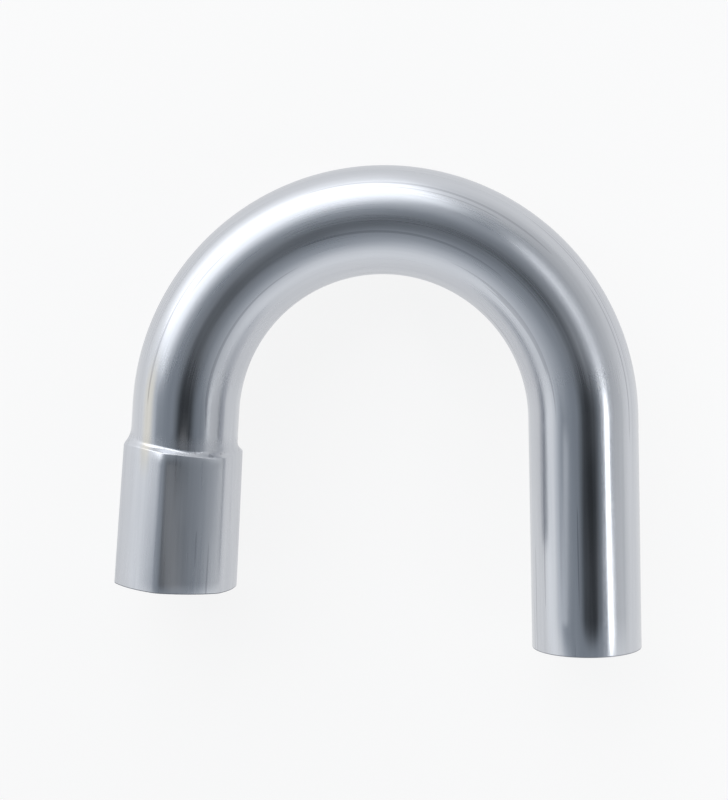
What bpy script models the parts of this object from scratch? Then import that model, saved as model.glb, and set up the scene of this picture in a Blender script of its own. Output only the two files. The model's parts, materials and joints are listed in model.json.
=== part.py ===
"""Return bend: one length of round tube bent back on itself.

One leg ends in a plain spigot. The other is short, leans out a little, and ends in a socket that a
segmented expander has opened to take the spigot of the next fitting: six crowned flats with round
ridges between them, a short shoulder whose edge waves round them, and a slight flare to the mouth.

Metres, +Z up. The tube is drawn level, about the centre of its bend: the spigot leg runs down -Y at
+X, the arch stands towards +Y, and the socket leg is at -X. It is then laid down as it rests on a
floor at z = 0, on the underside of the arch and a ridge of the wider socket, with the middle of its
box over the origin. Build with: blender --background --python part.py
"""

import math

import bmesh
import bpy
from mathutils import Matrix, Vector

MM = 0.001

# The tube that the fitting is bent from
TUBE_DIAMETER = 38.1 * MM
WALL = 1.2 * MM

# The bend, at the middle of the tube. The legs are a few degrees short of parallel.
BEND_RADIUS = 70.6 * MM
BEND_ANGLE = math.radians(175.0)

# The straight stretches, from the end of the bend outwards. On the socket leg they are measured at
# the middle of a flat.
SPIGOT_LENGTH = 81.0 * MM
NECK_LENGTH = 12.6 * MM
SHOULDER_LENGTH = 1.8 * MM
SOCKET_LENGTH = 49.8 * MM

# How the shoulder's edge waves: later over the ridges, and earlier towards the inside of the bend.
# On the outside of the bend, where the wall was stretched, it also starts early and is long.
SHOULDER_SCALLOP = 2.2 * MM
SHOULDER_SLANT = 0.8 * MM
SHOULDER_RUNOUT = 5.0 * MM

# How much wider than the tube it takes the socket's bore is, from flat to flat
SOCKET_CLEARANCE = 0.1 * MM  # beside the shoulder
MOUTH_CLEARANCE = 2.2 * MM  # at the mouth

# The expander's marks: how many flats, which way one faces, and their section
FLATS = 6
FLAT_DIRECTION = math.radians(24.0)  # from straight up towards the inside of the bend
FLAT_CROWN = 46.0 * MM  # radius across a flat, beside the shoulder
MOUTH_CROWN = 34.0 * MM  # the same at the mouth, where the flats spring back rounder
RIDGE_ROUNDING = 5.0 * MM

EDGE_BREAK = 0.25 * MM  # bevel on the cut edges of both mouths
WELD = 0.001 * MM  # points this close are one

# Facets of the solid
SIDES = 60
BEND_STEPS = 32
SHOULDER_STEPS = 6
SOCKET_STEPS = 4

# Finish
STEEL_COLOUR = (0.62, 0.63, 0.66, 1.0)
STEEL_ROUGHNESS = 0.28

TUBE_RADIUS = TUBE_DIAMETER / 2
SOCKET_BORE = TUBE_DIAMETER + SOCKET_CLEARANCE
MOUTH_BORE = TUBE_DIAMETER + MOUTH_CLEARANCE
# The socket's wall is the tube's, thinned as its girth grew
SOCKET_WALL = WALL * TUBE_DIAMETER / (SOCKET_BORE + 2 * WALL)
SPIGOT_MOUTH = Vector((BEND_RADIUS, -SPIGOT_LENGTH, 0))
BEND_END = Vector((math.cos(BEND_ANGLE), math.sin(BEND_ANGLE), 0)) * BEND_RADIUS
SOCKET_DIRECTION = Vector((-math.sin(BEND_ANGLE), math.cos(BEND_ANGLE), 0))
SOCKET_END = NECK_LENGTH + SHOULDER_LENGTH + SOCKET_LENGTH


def clear_scene():
    for obj in list(bpy.data.objects):
        bpy.data.objects.remove(obj, do_unlink=True)


def smooth_step(share):
    """0 to 1 with level ends."""
    share = min(max(share, 0.0), 1.0)
    return share * share * (3 - 2 * share)


def mix(start, end, share):
    return start + (end - start) * share


def flatted_radius(angle, flat, crown):
    """Polar radius of the expanded section: flats of radius crown that pass at distance flat from
    the axis, joined by ridges of radius RIDGE_ROUNDING that meet them without a corner."""
    half = math.pi / FLATS
    off_flat = abs((angle - FLAT_DIRECTION + half) % (2 * half) - half)
    off_ridge = half - off_flat
    crown_centre = crown - flat
    reach = crown_centre * math.cos(half)
    ridge_centre = math.sqrt((crown - RIDGE_ROUNDING) ** 2 - crown_centre**2 + reach**2) - reach
    normal = math.atan2(ridge_centre * math.sin(half), crown_centre + ridge_centre * math.cos(half))
    join = math.atan2(crown * math.sin(normal), crown * math.cos(normal) - crown_centre)
    if off_flat < join:
        across = crown_centre * math.sin(off_flat)
        return math.sqrt(crown**2 - across**2) - crown_centre * math.cos(off_flat)
    across = ridge_centre * math.sin(off_ridge)
    return math.sqrt(RIDGE_ROUNDING**2 - across**2) + ridge_centre * math.cos(off_ridge)


def shoulder_span(angle):
    """Where the shoulder starts and ends, as distances along the socket leg from the bend's end."""
    ridge = (1 - math.cos(FLATS * (angle - FLAT_DIRECTION))) / 2
    outward = max(-math.sin(angle), 0.0)
    edge = NECK_LENGTH + SHOULDER_SCALLOP * ridge - SHOULDER_SLANT * math.sin(angle)
    return edge - SHOULDER_RUNOUT * outward**2, edge + SHOULDER_LENGTH


def socket_leg_point(angle, station, depth):
    """Distance along the socket leg and polar radius there. Station 0 to 1 runs over the shoulder
    and 1 to 2 on to the mouth. Depth is 0 on the outside and 1 in the bore, whose shoulder lies
    half a wall further along, so that the wall keeps its thickness through the slope."""
    start, end = shoulder_span(angle)
    share = max(station - 1, 0.0)
    along = mix(start, end, station) if station < 1 else mix(end, SOCKET_END, share)
    flat = mix(SOCKET_BORE, MOUTH_BORE, share) / 2 + SOCKET_WALL
    expanded = flatted_radius(angle, flat, mix(FLAT_CROWN, MOUTH_CROWN, share))
    opened = smooth_step(station)
    radius = mix(TUBE_RADIUS, expanded, opened) - depth * mix(WALL, SOCKET_WALL, opened)
    return along + depth * (1 - share) * WALL / 2, radius


def extruded(bm, ring):
    """A copy of a ring of edges, joined to it by faces: its vertices and its edges."""
    made = bmesh.ops.extrude_edge_only(bm, edges=ring)["geom"]
    verts = [item for item in made if isinstance(item, bmesh.types.BMVert)]
    edges = [item for item in made if isinstance(item, bmesh.types.BMEdge)]
    return verts, edges


def skin(bm, depth):
    """One skin from the spigot's mouth to the socket's: the outside at depth 0, the bore at 1.
    Returns the rings of edges at its two mouths."""
    across = Matrix.Translation(SPIGOT_MOUTH) @ Matrix.Rotation(math.pi / 2, 4, "X")
    circle = bmesh.ops.create_circle(
        bm, cap_ends=False, segments=SIDES, radius=TUBE_RADIUS - depth * WALL, matrix=across
    )["verts"]
    spigot_mouth = list(dict.fromkeys(edge for vert in circle for edge in vert.link_edges))

    verts, ring = extruded(bm, spigot_mouth)
    bmesh.ops.translate(bm, verts=verts, vec=(0, SPIGOT_LENGTH, 0))

    bent = bmesh.ops.spin(
        bm,
        geom=verts + ring,
        cent=(0, 0, 0),
        axis=(0, 0, 1),
        angle=BEND_ANGLE,
        steps=BEND_STEPS,
    )["geom_last"]
    ring = [item for item in bent if isinstance(item, bmesh.types.BMEdge)]

    for station in socket_leg_stations():
        verts, ring = extruded(bm, ring)
        shape_ring(verts, station, depth)
    return spigot_mouth, ring


def socket_leg_stations():
    """Where the socket leg's section is drawn: 0 to 1 over the shoulder, 1 to 2 over the socket."""
    shoulder = [i / SHOULDER_STEPS for i in range(SHOULDER_STEPS + 1)]
    socket = [1 + i / SOCKET_STEPS for i in range(1, SOCKET_STEPS + 1)]
    return shoulder + socket


def shape_ring(verts, station, depth):
    """Moves a ring to its place on the socket leg and gives it the section there."""
    inside = Vector((0, 0, 1)).cross(SOCKET_DIRECTION)
    for vert in verts:
        spoke = vert.co - BEND_END
        angle = math.atan2(spoke.dot(inside), spoke.z)
        along, radius = socket_leg_point(angle, station, depth)
        out = Vector((0, 0, math.cos(angle))) + inside * math.sin(angle)
        vert.co = BEND_END + SOCKET_DIRECTION * along + out * radius


def close_mouths(bm, spigot_bore, socket_bore):
    """The cut faces: each bore's last ring is drawn out to the outside and welded to it."""
    verts, _ = extruded(bm, spigot_bore)
    girth = TUBE_RADIUS / (TUBE_RADIUS - WALL)
    bmesh.ops.scale(bm, verts=verts, vec=(girth, 1, girth), space=Matrix.Translation(-SPIGOT_MOUTH))
    verts, _ = extruded(bm, socket_bore)
    shape_ring(verts, 2, 0)
    bmesh.ops.remove_doubles(bm, verts=bm.verts, dist=WELD)


def break_edges(bm):
    """A small bevel on the inner and outer edge of each mouth."""
    bmesh.ops.recalc_face_normals(bm, faces=bm.faces)
    cut = [edge for edge in bm.edges if edge.calc_face_angle() > math.radians(60)]
    bmesh.ops.bevel(
        bm,
        geom=cut,
        offset=EDGE_BREAK,
        affect="EDGES",
        segments=1,
        profile=0.5,
        material=-1,
    )


def bent_tube():
    """The whole fitting, level, about the centre of its bend."""
    bm = bmesh.new()
    skin(bm, 0)
    spigot_bore, socket_bore = skin(bm, 1)
    close_mouths(bm, spigot_bore, socket_bore)
    break_edges(bm)
    mesh = bpy.data.meshes.new("return_bend")
    bm.to_mesh(mesh)
    bm.free()
    mesh.shade_smooth()
    mesh.set_sharp_from_angle(angle=math.radians(35))
    return mesh


def balance_point():
    """The centre of mass of the tube, from the lengths and middles of its stretches."""
    arc_middle = BEND_ANGLE / 2
    arc_reach = BEND_RADIUS * math.sin(arc_middle) / arc_middle
    stretches = (
        (SPIGOT_LENGTH, Vector((BEND_RADIUS, -SPIGOT_LENGTH / 2, 0))),
        (BEND_RADIUS * BEND_ANGLE, Vector((math.cos(arc_middle), math.sin(arc_middle), 0)) * arc_reach),
        (SOCKET_END, BEND_END + SOCKET_DIRECTION * SOCKET_END / 2),
    )
    total = sum(length for length, middle in stretches)
    return sum((middle * length for length, middle in stretches), Vector()) / total


def resting_place(mesh):
    """The turn and the lift that lay the level tube on the floor. The wider socket touches, and so
    does the arch, in the quarter across from it, where that leaves the balance point lowest."""
    underside = [vert.co for vert in mesh.vertices if vert.co.z < -TUBE_RADIUS - WELD]
    balance = balance_point()

    def lean_towards(degrees):
        """Where the arch would touch, and the lean that lifts the socket to the same floor."""
        touch = Vector((math.cos(math.radians(degrees)), math.sin(math.radians(degrees)), 0))
        slopes = [(-co.z - TUBE_RADIUS) / (BEND_RADIUS - touch.dot(co)) for co in underside]
        return touch, math.atan(max(slopes))

    def balance_height(degrees):
        touch, lean = lean_towards(degrees)
        return lean * (BEND_RADIUS - touch.dot(balance))

    touch, lean = lean_towards(min(range(0, 91), key=balance_height))
    turn = Matrix.Rotation(lean, 4, Vector((0, 0, 1)).cross(touch))
    placed = [turn @ vert.co for vert in mesh.vertices]
    low = Vector([min(co[axis] for co in placed) for axis in range(3)])
    high = Vector([max(co[axis] for co in placed) for axis in range(3)])
    return Matrix.Translation((-(low.x + high.x) / 2, -(low.y + high.y) / 2, -low.z)) @ turn


def satin_steel():
    material = bpy.data.materials.new("satin_steel")
    material.use_nodes = True
    shader = material.node_tree.nodes["Principled BSDF"]
    shader.inputs["Base Color"].default_value = STEEL_COLOUR
    shader.inputs["Metallic"].default_value = 1.0
    shader.inputs["Roughness"].default_value = STEEL_ROUGHNESS
    return material


def main():
    clear_scene()
    mesh = bent_tube()
    mesh.materials.append(satin_steel())
    bend = bpy.data.objects.new("return_bend", mesh)
    bpy.context.scene.collection.objects.link(bend)
    bend.matrix_world = resting_place(mesh)


main()
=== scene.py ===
"""The return bend as it looks: satin steel tube, drawn along its length, lying on a white floor.

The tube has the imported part's sizes, in a finer mesh. It is made level, about the centre of its
bend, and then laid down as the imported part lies. The camera is laid down with it. Floor and lamps
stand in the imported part's own frame.
"""

import json
import math

import bmesh
import bpy
from mathutils import Matrix, Vector

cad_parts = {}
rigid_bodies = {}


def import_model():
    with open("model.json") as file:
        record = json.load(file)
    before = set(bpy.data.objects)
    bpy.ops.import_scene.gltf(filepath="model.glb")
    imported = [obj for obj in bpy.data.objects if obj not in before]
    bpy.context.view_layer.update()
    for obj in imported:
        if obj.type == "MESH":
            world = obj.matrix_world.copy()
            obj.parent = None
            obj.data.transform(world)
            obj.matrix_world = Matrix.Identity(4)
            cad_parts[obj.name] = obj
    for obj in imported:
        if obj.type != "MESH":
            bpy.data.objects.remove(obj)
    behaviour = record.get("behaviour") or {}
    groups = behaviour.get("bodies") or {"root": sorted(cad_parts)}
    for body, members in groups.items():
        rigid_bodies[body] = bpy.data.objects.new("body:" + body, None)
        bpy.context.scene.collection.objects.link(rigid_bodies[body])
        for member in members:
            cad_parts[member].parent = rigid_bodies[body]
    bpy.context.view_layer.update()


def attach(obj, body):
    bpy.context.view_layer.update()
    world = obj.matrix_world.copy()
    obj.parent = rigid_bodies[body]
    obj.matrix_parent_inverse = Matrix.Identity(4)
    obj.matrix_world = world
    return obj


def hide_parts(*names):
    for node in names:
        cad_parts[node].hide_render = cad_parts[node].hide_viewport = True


MM = 0.001

# The tube and its bend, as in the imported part
TUBE_DIAMETER = 38.1 * MM
WALL = 1.2 * MM
BEND_RADIUS = 70.6 * MM
BEND_ANGLE = math.radians(175.0)
SPIGOT_LENGTH = 81.0 * MM
SOCKET_LEG_LENGTH = 64.2 * MM
SOCKET_BORE = TUBE_DIAMETER + 0.1 * MM
MOUTH_BORE = TUBE_DIAMETER + 2.2 * MM
FLATS = 6
FLAT_DIRECTION = math.radians(24.0)
FLAT_CROWN = 46.0 * MM
MOUTH_CROWN = 34.0 * MM
RIDGE_ROUNDING = 5.0 * MM
EDGE_BREAK = 0.25 * MM

# The shoulder's line as it shows. Its end lies at SHOULDER_END on average, and further along on the
# upper side by the lift, on the inside of the bend by the slant and on two diagonals by the twist.
# It is as long as SHOULDER_LENGTH above and below, and longer at the two sides by the run-outs. The
# bias holds the opening back towards the shoulder's end.
SHOULDER_END = 15.5 * MM
SHOULDER_LIFT = 0.2 * MM
SHOULDER_SLANT = 0.5 * MM
SHOULDER_TWIST = 0.6 * MM
SHOULDER_LENGTH = 2.6 * MM
SHOULDER_RUNOUT_OUTSIDE = 6.0 * MM
SHOULDER_RUNOUT_INSIDE = 2.6 * MM
SHOULDER_BIAS = 1.8

# Facets of the finer mesh
SIDES = 144
SPIGOT_STEPS = 6
BEND_STEPS = 112
SHOULDER_STEPS = 16
SOCKET_STEPS = 12
EDGE_STEPS = 2
WELD = 0.001 * MM
CUT_EDGE_ANGLE = math.radians(60)
SHARP_ANGLE = math.radians(40)

TUBE_RADIUS = TUBE_DIAMETER / 2
SOCKET_WALL = WALL * TUBE_DIAMETER / (SOCKET_BORE + 2 * WALL)
SPIGOT_MOUTH = Vector((BEND_RADIUS, -SPIGOT_LENGTH, 0))
BEND_END = Vector((math.cos(BEND_ANGLE), math.sin(BEND_ANGLE), 0)) * BEND_RADIUS
SOCKET_DIRECTION = Vector((-math.sin(BEND_ANGLE), math.cos(BEND_ANGLE), 0))
SOCKET_INSIDE = Vector((0, 0, 1)).cross(SOCKET_DIRECTION)
BEND_LENGTH = BEND_RADIUS * BEND_ANGLE
SOCKET_MOUTH_ALONG = BEND_LENGTH + SOCKET_LEG_LENGTH

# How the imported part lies: it leans on a ridge of its socket and on the arch
LEAN = math.radians(1.0920)
LEAN_AXIS = Vector((-0.64279, 0.76604, 0))
LIE_AT = Vector((3.7378, -4.1636, 20.3920)) * MM

# The finish. Each grain is noise: how far it is squeezed along the tube, its scale and its detail
DRAW_LINES = (0.004, 2200, 3)
STREAKS = (0.03, 380, 2)
CLOUDS = (0.5, 45, 2)
HAIR_SCRATCHES = (0.012, 900, 0)
HAIR_SCRATCH_NOISE = (0.735, 0.75)
GRAIN_NOISE = (0.3, 0.7)
CLOUD_NOISE = (0.35, 0.65)
DARK_STEEL = (0.545, 0.562, 0.598, 1)
LIGHT_STEEL = (0.60, 0.617, 0.652, 1)
STRAW_TINT = (1.05, 0.99, 0.87, 1)
SCRATCH_TINT = (0.78, 0.78, 0.79, 1)
CUT_TINT = (0.5, 0.5, 0.52, 1)
DRAWN_ROUGHNESS = (0.16, 0.23)
WORKED_ROUGHNESS = 0.11
MOTTLED_ROUGHNESS = 0.02
CUT_ROUGHNESS = 0.25
ANISOTROPY = 0.35
RELIEF_STRENGTH = 0.07
RELIEF_HEIGHT = 0.04 * MM
CUT_EDGE_WIDTH = 0.4 * MM
CUT_EDGE_BLUR = 0.1 * MM

# The stage: the floor, the share of plain white in how it shows, and the tent's two colours
FLOOR_REACH = 4.0
PAPER = (0.93, 0.93, 0.93, 1)
WHITE = (1, 1, 1, 1)
WHITE_SHARE = 0.85
TENT_TOP = (0.86, 0.96, 1.08, 1)
TENT_WALLS = (0.97, 0.985, 1.0, 1)
LAMP_CENTRE = Vector((0, 0, 20)) * MM
FULL_SPREAD = math.pi

# The camera, over the level tube: the distance to its centre and how far it stands off and turns
CAMERA_DISTANCE = 531.5 * MM
CAMERA_OFFSET = Vector((-6.36, 7.11, 0)) * MM
CAMERA_YAW = math.radians(5.70)
CAMERA_PITCH = math.radians(-2.82)
CAMERA_ROLL = math.radians(-1.31)
CAMERA_LENS = 67.5
CAMERA_NEAR = 10 * MM


def smooth_step(share):
    share = min(max(share, 0.0), 1.0)
    return share * share * (3 - 2 * share)


def mix(start, end, share):
    return start + (end - start) * share


# ---------------------------------------------------------------- the tube


def flatted_radius(angle, flat, crown):
    """Polar radius of the expanded section: crowned flats joined by round ridges."""
    half = math.pi / FLATS
    off_flat = abs((angle - FLAT_DIRECTION + half) % (2 * half) - half)
    off_ridge = half - off_flat
    crown_centre = crown - flat
    reach = crown_centre * math.cos(half)
    ridge_centre = math.sqrt((crown - RIDGE_ROUNDING) ** 2 - crown_centre**2 + reach**2) - reach
    normal = math.atan2(ridge_centre * math.sin(half), crown_centre + ridge_centre * math.cos(half))
    join = math.atan2(crown * math.sin(normal), crown * math.cos(normal) - crown_centre)
    if off_flat < join:
        across = crown_centre * math.sin(off_flat)
        return math.sqrt(crown**2 - across**2) - crown_centre * math.cos(off_flat)
    across = ridge_centre * math.sin(off_ridge)
    return math.sqrt(RIDGE_ROUNDING**2 - across**2) + ridge_centre * math.cos(off_ridge)


def shoulder_span(angle):
    """Where the shoulder starts and ends, as distances along the socket leg from the bend's end."""
    inward = math.sin(angle)
    runout = SHOULDER_RUNOUT_INSIDE if inward > 0 else SHOULDER_RUNOUT_OUTSIDE
    end = SHOULDER_END + SHOULDER_LIFT * math.cos(angle) + SHOULDER_SLANT * inward
    end += SHOULDER_TWIST * math.sin(2 * angle)
    return end - SHOULDER_LENGTH - runout * inward**4, end


def socket_leg_point(angle, station, depth):
    """Distance along the socket leg and polar radius there. Station 0 to 1 runs over the shoulder
    and 1 to 2 on to the mouth. Depth is 0 on the outside and 1 in the bore, whose shoulder lies
    half a wall further along, so that the wall keeps its thickness through the slope."""
    start, end = shoulder_span(angle)
    share = max(station - 1, 0.0)
    along = mix(start, end, station) if station < 1 else mix(end, SOCKET_LEG_LENGTH, share)
    flat = mix(SOCKET_BORE, MOUTH_BORE, share) / 2 + SOCKET_WALL
    expanded = flatted_radius(angle, flat, mix(FLAT_CROWN, MOUTH_CROWN, share))
    opened = smooth_step(min(station, 1) ** SHOULDER_BIAS)
    radius = mix(TUBE_RADIUS, expanded, opened) - depth * mix(WALL, SOCKET_WALL, opened)
    return along + depth * (1 - share) * WALL / 2, radius


def extruded(bm, ring):
    """A copy of a ring of edges, joined to it by faces: its vertices and its edges."""
    made = bmesh.ops.extrude_edge_only(bm, edges=ring)["geom"]
    verts = [item for item in made if isinstance(item, bmesh.types.BMVert)]
    edges = [item for item in made if isinstance(item, bmesh.types.BMEdge)]
    return verts, edges


def socket_leg_stations():
    """Where the socket leg's section is drawn: 0 to 1 over the shoulder, 1 to 2 over the socket."""
    shoulder = [i / SHOULDER_STEPS for i in range(SHOULDER_STEPS + 1)]
    socket = [1 + i / SOCKET_STEPS for i in range(1, SOCKET_STEPS + 1)]
    return shoulder + socket


def shape_ring(verts, station, depth):
    """Moves a ring to its place on the socket leg and gives it the section there."""
    for vert in verts:
        spoke = vert.co - BEND_END
        angle = math.atan2(spoke.dot(SOCKET_INSIDE), spoke.z)
        along, radius = socket_leg_point(angle, station, depth)
        out = Vector((0, 0, math.cos(angle))) + SOCKET_INSIDE * math.sin(angle)
        vert.co = BEND_END + SOCKET_DIRECTION * along + out * radius


def skin(bm, depth):
    """One skin from the spigot's mouth to the socket's: the outside at depth 0, the bore at 1.
    Returns the rings of edges at its two mouths."""
    across = Matrix.Translation(SPIGOT_MOUTH) @ Matrix.Rotation(math.pi / 2, 4, "X")
    circle = bmesh.ops.create_circle(
        bm, cap_ends=False, segments=SIDES, radius=TUBE_RADIUS - depth * WALL, matrix=across
    )["verts"]
    spigot_mouth = list(dict.fromkeys(edge for vert in circle for edge in vert.link_edges))

    ring = spigot_mouth
    for _ in range(SPIGOT_STEPS):
        verts, ring = extruded(bm, ring)
        bmesh.ops.translate(bm, verts=verts, vec=(0, SPIGOT_LENGTH / SPIGOT_STEPS, 0))

    bent = bmesh.ops.spin(
        bm,
        geom=verts + ring,
        cent=(0, 0, 0),
        axis=(0, 0, 1),
        angle=BEND_ANGLE,
        steps=BEND_STEPS,
    )["geom_last"]
    ring = [item for item in bent if isinstance(item, bmesh.types.BMEdge)]

    for station in socket_leg_stations():
        verts, ring = extruded(bm, ring)
        shape_ring(verts, station, depth)
    return spigot_mouth, ring


def close_mouths(bm, spigot_bore, socket_bore):
    """The cut faces: each bore's last ring is drawn out to the outside and welded to it."""
    verts, _ = extruded(bm, spigot_bore)
    girth = TUBE_RADIUS / (TUBE_RADIUS - WALL)
    bmesh.ops.scale(bm, verts=verts, vec=(girth, 1, girth), space=Matrix.Translation(-SPIGOT_MOUTH))
    verts, _ = extruded(bm, socket_bore)
    shape_ring(verts, 2, 0)
    bmesh.ops.remove_doubles(bm, verts=bm.verts, dist=WELD)


def break_edges(bm):
    """A small rounding on the inner and outer edge of each mouth."""
    bmesh.ops.recalc_face_normals(bm, faces=bm.faces)
    cut = [edge for edge in bm.edges if edge.calc_face_angle() > CUT_EDGE_ANGLE]
    bmesh.ops.bevel(
        bm,
        geom=cut,
        offset=EDGE_BREAK,
        affect="EDGES",
        segments=EDGE_STEPS,
        profile=0.5,
        material=-1,
    )


def put_in_order(bm):
    """Sorts the mesh by place, because the rounding leaves it in another order each run."""

    def sort_by(items, key):
        rank = {item: number for number, item in enumerate(sorted(items, key=key))}
        items.sort(key=rank.get)
        items.index_update()

    sort_by(bm.verts, lambda vert: tuple(vert.co))
    sort_by(bm.edges, lambda edge: sorted(vert.index for vert in edge.verts))
    sort_by(bm.faces, lambda face: sorted(vert.index for vert in face.verts))


def straightened(co):
    """Where a point would be if the tube were straight: outwards from the bend, up, and along."""
    if co.x > 0 and co.y < 0:
        return Vector((co.x - BEND_RADIUS, co.z, co.y))
    beyond = (co - BEND_END).dot(SOCKET_DIRECTION)
    if co.x < 0 and beyond > 0:
        outwards = -(co - BEND_END).dot(SOCKET_INSIDE)
        return Vector((outwards, co.z, BEND_LENGTH + beyond))
    return Vector((co.xy.length - BEND_RADIUS, co.z, BEND_RADIUS * math.atan2(co.y, co.x)))


def keep_straight_places(mesh):
    """Stores each point's straightened place, which the drawn finish follows round the bend."""
    places = mesh.attributes.new("straight", "FLOAT_VECTOR", "POINT")
    for vert, place in zip(mesh.vertices, places.data):
        place.vector = straightened(vert.co)


def map_girth(mesh):
    """A UV map that runs round the tube in U and along it in V, in metres."""
    layer = mesh.uv_layers.new(name="girth")
    places = mesh.attributes["straight"].data
    for face in mesh.polygons:
        turns = []
        for loop_index in face.loop_indices:
            place = places[mesh.loops[loop_index].vertex_index].vector
            turn = math.atan2(place.x, place.y)
            if turns and turn - turns[0] > math.pi:
                turn -= 2 * math.pi
            if turns and turns[0] - turn > math.pi:
                turn += 2 * math.pi
            turns.append(turn)
            depth = math.hypot(place.x, place.y)
            layer.data[loop_index].uv = (turn * TUBE_RADIUS, place.z + depth)


def lying():
    """From the level tube to the tube as it lies on the floor."""
    return Matrix.Translation(LIE_AT) @ Matrix.Rotation(LEAN, 4, LEAN_AXIS)


def bent_tube():
    bm = bmesh.new()
    skin(bm, 0)
    spigot_bore, socket_bore = skin(bm, 1)
    close_mouths(bm, spigot_bore, socket_bore)
    break_edges(bm)
    put_in_order(bm)
    mesh = bpy.data.meshes.new("drawn_tube")
    bm.to_mesh(mesh)
    bm.free()
    keep_straight_places(mesh)
    map_girth(mesh)
    mesh.transform(lying())
    mesh.shade_smooth()
    mesh.set_sharp_from_angle(angle=SHARP_ANGLE)
    tube = bpy.data.objects.new("drawn_tube", mesh)
    bpy.context.scene.collection.objects.link(tube)
    return tube


# ---------------------------------------------------------------- shader nodes


def node(tree, kind, **values):
    """A new node with its input sockets and settings given by name."""
    made = tree.nodes.new(kind)
    for name, value in values.items():
        if name in made.inputs:
            made.inputs[name].default_value = value
        else:
            setattr(made, name, value)
    return made


def ranged(tree, value, span, low, high, kind="LINEAR"):
    """A value's place in a span, as a number between low and high."""
    mapped = node(tree, "ShaderNodeMapRange", interpolation_type=kind)
    for name, number in (
        ("From Min", span[0]),
        ("From Max", span[1]),
        ("To Min", low),
        ("To Max", high),
    ):
        mapped.inputs[name].default_value = number
    tree.links.new(value, mapped.inputs["Value"])
    return mapped.outputs["Result"]


def joined(tree, operation, first, *others):
    """Values joined one after the other by a sum, a product or the like."""
    for other in others:
        step = node(tree, "ShaderNodeMath", operation=operation)
        tree.links.new(first, step.inputs[0])
        tree.links.new(other, step.inputs[1])
        first = step.outputs["Value"]
    return first


def between(tree, value, low, high, blur):
    """1 from low to high, falling softly to 0 outside."""
    rise = ranged(tree, value, (low - blur, low), 0, 1, "SMOOTHSTEP")
    fall = ranged(tree, value, (high, high + blur), 1, 0, "SMOOTHSTEP")
    return joined(tree, "MULTIPLY", rise, fall)


def blended_colour(tree, value, span, low, high):
    """A colour between low and high, by a value's place in a span."""
    ramp = node(tree, "ShaderNodeValToRGB")
    for stop, position, colour in zip(ramp.color_ramp.elements, span, (low, high)):
        stop.position = position
        stop.color = colour
    tree.links.new(value, ramp.inputs["Fac"])
    return ramp.outputs["Color"]


def tinted(tree, colour, tint, mask):
    """A colour multiplied by a tint where the mask is 1."""
    blend = node(tree, "ShaderNodeMix", data_type="RGBA", blend_type="MULTIPLY")
    tree.links.new(mask, blend.inputs["Factor"])
    tree.links.new(colour, blend.inputs[6])
    blend.inputs[7].default_value = tint
    return blend.outputs[2]


# ---------------------------------------------------------------- the finish


def drawn_noise(tree, place, grain):
    """Noise drawn out along the tube."""
    squeeze, scale, detail = grain
    mapping = node(tree, "ShaderNodeMapping")
    mapping.inputs["Scale"].default_value = (1, 1, squeeze)
    noise = node(tree, "ShaderNodeTexNoise", Scale=scale, Detail=detail)
    tree.links.new(place, mapping.inputs["Vector"])
    tree.links.new(mapping.outputs["Vector"], noise.inputs["Vector"])
    return noise.outputs["Fac"]


def worked_metal(tree, along):
    """1 where the tube was bent or expanded."""
    return joined(
        tree,
        "MAXIMUM",
        between(tree, along, 26 * MM, BEND_LENGTH - 24 * MM, 24 * MM),
        ranged(tree, along, (BEND_LENGTH + 8 * MM, BEND_LENGTH + 13 * MM), 0, 1, "SMOOTHSTEP"),
    )


def straw_patch(tree, outwards, upwards, along):
    """1 in a narrow patch on the upper outside of the neck, just before the shoulder."""
    return joined(
        tree,
        "MULTIPLY",
        between(tree, outwards, 9.4 * MM, 10.4 * MM, 2.4 * MM),
        between(tree, along, BEND_LENGTH - 4 * MM, BEND_LENGTH + 12 * MM, 16 * MM),
        ranged(tree, upwards, (0, 2 * MM), 0, 1),
    )


def cut_edges(tree, along):
    """1 at the two mouths."""
    first = -SPIGOT_LENGTH + CUT_EDGE_WIDTH
    last = SOCKET_MOUTH_ALONG - CUT_EDGE_WIDTH
    return ranged(tree, between(tree, along, first, last, CUT_EDGE_BLUR), (0, 1), 1, 0)


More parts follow.
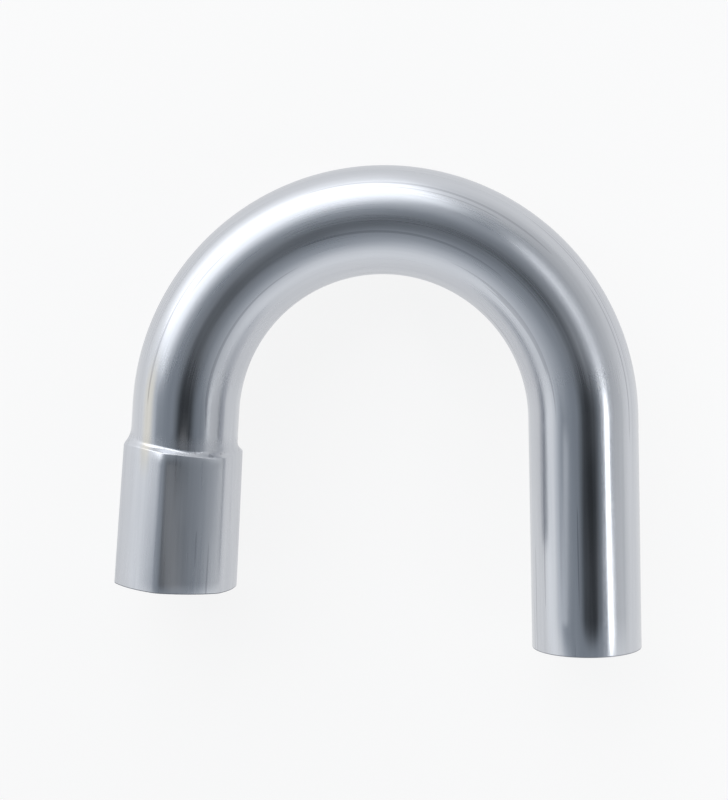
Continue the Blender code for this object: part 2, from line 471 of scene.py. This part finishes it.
def drawn_steel():
    """Satin stainless tube: draw lines and soft streaks along it, duller where it was worked, a
    faint straw tint beside the socket's shoulder, hair scratches, and darker cut edges."""
    material = bpy.data.materials.new("drawn_steel")
    material.use_nodes = True
    tree = material.node_tree
    steel = tree.nodes["Principled BSDF"]
    steel.inputs["Metallic"].default_value = 1.0
    steel.inputs["Anisotropic"].default_value = ANISOTROPY

    place = node(tree, "ShaderNodeAttribute", attribute_name="straight").outputs["Vector"]
    girth = node(tree, "ShaderNodeTangent", direction_type="UV_MAP", uv_map="girth")
    tree.links.new(girth.outputs["Tangent"], steel.inputs["Tangent"])
    parts = node(tree, "ShaderNodeSeparateXYZ")
    tree.links.new(place, parts.inputs["Vector"])
    outwards, upwards, along = parts.outputs

    draw_lines = drawn_noise(tree, place, DRAW_LINES)
    streaks = drawn_noise(tree, place, STREAKS)
    clouds = drawn_noise(tree, place, CLOUDS)
    scratches = ranged(tree, drawn_noise(tree, place, HAIR_SCRATCHES), HAIR_SCRATCH_NOISE, 0, 1)
    straw = straw_patch(tree, outwards, upwards, along)
    cut = cut_edges(tree, along)

    colour = blended_colour(tree, streaks, GRAIN_NOISE, DARK_STEEL, LIGHT_STEEL)
    for tint, mask in ((STRAW_TINT, straw), (SCRATCH_TINT, scratches), (CUT_TINT, cut)):
        colour = tinted(tree, colour, tint, mask)
    tree.links.new(colour, steel.inputs["Base Color"])

    roughness = joined(
        tree,
        "ADD",
        ranged(tree, draw_lines, GRAIN_NOISE, *DRAWN_ROUGHNESS),
        ranged(tree, worked_metal(tree, along), (0, 1), 0, WORKED_ROUGHNESS),
        ranged(tree, streaks, GRAIN_NOISE, -MOTTLED_ROUGHNESS, MOTTLED_ROUGHNESS),
        ranged(tree, clouds, CLOUD_NOISE, -MOTTLED_ROUGHNESS, MOTTLED_ROUGHNESS),
        ranged(tree, cut, (0, 1), 0, CUT_ROUGHNESS),
    )
    tree.links.new(roughness, steel.inputs["Roughness"])

    relief = node(tree, "ShaderNodeBump", Strength=RELIEF_STRENGTH, Distance=RELIEF_HEIGHT)
    tree.links.new(draw_lines, relief.inputs["Height"])
    tree.links.new(relief.outputs["Normal"], steel.inputs["Normal"])
    return material


# ---------------------------------------------------------------- floor, lamps and camera


def white_paper():
    """Paper that shows as white to the camera and in the metal, and keeps the tube's shadow."""
    material = bpy.data.materials.new("white_paper")
    material.use_nodes = True
    tree = material.node_tree
    tree.nodes.remove(tree.nodes["Principled BSDF"])
    paper = node(tree, "ShaderNodeBsdfDiffuse", Color=PAPER)
    glow = node(tree, "ShaderNodeEmission", Color=WHITE, Strength=1.0)
    path = node(tree, "ShaderNodeLightPath").outputs
    seen = joined(tree, "MAXIMUM", path["Is Camera Ray"], path["Is Glossy Ray"])
    blend = node(tree, "ShaderNodeMixShader")
    tree.links.new(ranged(tree, seen, (0, 1), 0, WHITE_SHARE), blend.inputs["Fac"])
    tree.links.new(paper.outputs["BSDF"], blend.inputs[1])
    tree.links.new(glow.outputs["Emission"], blend.inputs[2])
    tree.links.new(blend.outputs["Shader"], tree.nodes["Material Output"].inputs["Surface"])
    return material


def white_floor():
    bm = bmesh.new()
    bmesh.ops.create_grid(bm, x_segments=1, y_segments=1, size=FLOOR_REACH)
    mesh = bpy.data.meshes.new("floor")
    bm.to_mesh(mesh)
    bm.free()
    mesh.materials.append(white_paper())
    floor = bpy.data.objects.new("floor", mesh)
    bpy.context.scene.collection.objects.link(floor)


def towards(bearing, tilt):
    """A direction: its bearing in plan from +X round to +Y, and its tilt from straight up."""
    bearing = math.radians(bearing)
    tilt = math.radians(tilt)
    flat = math.sin(tilt)
    return Vector((flat * math.cos(bearing), flat * math.sin(bearing), math.cos(tilt)))


def light_tent():
    """A pale tent round the tube, dim overhead with one dark gap, and less bright on the right."""
    world = bpy.data.worlds.new("light_tent")
    bpy.context.scene.world = world
    world.use_nodes = True
    tree = world.node_tree
    background = tree.nodes["Background"]
    direction = node(tree, "ShaderNodeTexCoord").outputs["Generated"]

    def fade(centre, near, far, middle, rest):
        """A brightness: middle up to near degrees off a direction, and rest from far degrees on."""
        off = node(tree, "ShaderNodeVectorMath", operation="DOT_PRODUCT")
        off.inputs[1].default_value = centre
        tree.links.new(direction, off.inputs[0])
        span = (math.cos(math.radians(far)), math.cos(math.radians(near)))
        return ranged(tree, off.outputs["Value"], span, rest, middle, "SMOOTHSTEP")

    walls = fade(towards(0, 0), near=43, far=73, middle=0.34, rest=1.12)
    right = fade(towards(25, 90), near=20, far=75, middle=0.60, rest=1.0)
    gap = fade(towards(-36, 12.5), near=7, far=26, middle=0.09, rest=1.0)
    strength = joined(tree, "MULTIPLY", walls, right, gap)
    tree.links.new(strength, background.inputs["Strength"])
    colour = blended_colour(tree, walls, (0.3, 1.0), TENT_TOP, TENT_WALLS)
    tree.links.new(colour, background.inputs["Color"])


def soft_box(name, at, run, width, height, radiance, aim=LAMP_CENTRE, spread=FULL_SPREAD):
    """An area lamp that faces a place on the tube, with its width along run. Radiance is the
    brightness that its face shows when it has no grid to narrow its spread."""
    facing = (at - aim).normalized()
    upright = facing.cross(run).normalized()
    lamp = bpy.data.lights.new(name, "AREA")
    lamp.shape = "RECTANGLE"
    lamp.size = width
    lamp.size_y = height
    lamp.energy = radiance * math.pi * width * height
    lamp.spread = spread
    box = bpy.data.objects.new(name, lamp)
    turn = Matrix((upright.cross(facing), upright, facing)).transposed().to_4x4()
    box.matrix_world = Matrix.Translation(at) @ turn
    box.visible_camera = False
    bpy.context.scene.collection.objects.link(box)


def lamps():
    """A big box up and to the left, two narrow ones near the right leg that draw the line down it
    and on round the bend, and a small dim one close over the socket for its upper flat."""
    soft_box(
        "key_box",
        at=LAMP_CENTRE + towards(121, 59),
        run=towards(211, 90),
        width=1.60,
        height=0.84,
        radiance=1.45,
    )
    soft_box(
        "leg_strip",
        at=Vector((0.257, -0.101, 0.181)),
        run=Vector((-0.10, 1, 0)),
        width=0.26,
        height=0.030,
        radiance=0.85,
        aim=Vector((0.14, -0.05, 0.02)),
        spread=math.radians(58),
    )
    soft_box(
        "bend_strip",
        at=Vector((0.272, 0.150, 0.30)),
        run=Vector((-0.62, 0.78, 0)),
        width=0.26,
        height=0.06,
        radiance=1.9,
    )
    soft_box(
        "flat_card",
        at=Vector((-0.040, -0.065, 0.151)),
        run=Vector((0.1, 1, 0)),
        width=0.10,
        height=0.04,
        radiance=0.29,
    )


def camera():
    view = bpy.data.cameras.new("camera")
    view.lens = CAMERA_LENS
    view.clip_start = CAMERA_NEAR
    stand = bpy.data.objects.new("camera", view)
    turn = (
        Matrix.Rotation(CAMERA_YAW, 4, "Y")
        @ Matrix.Rotation(CAMERA_PITCH, 4, "X")
        @ Matrix.Rotation(CAMERA_ROLL, 4, "Z")
    )
    back_off = Matrix.Translation(CAMERA_OFFSET + Vector((0, 0, CAMERA_DISTANCE)))
    stand.matrix_world = lying() @ turn @ back_off
    bpy.context.scene.collection.objects.link(stand)
    bpy.context.scene.camera = stand


def main():
    for obj in list(bpy.data.objects):
        bpy.data.objects.remove(obj, do_unlink=True)
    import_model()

    camera()
    tube = bent_tube()
    tube.data.materials.append(drawn_steel())
    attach(tube, "root")
    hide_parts("return_bend")

    white_floor()
    light_tent()
    lamps()
    bpy.context.scene.view_settings.view_transform = "Standard"


main()
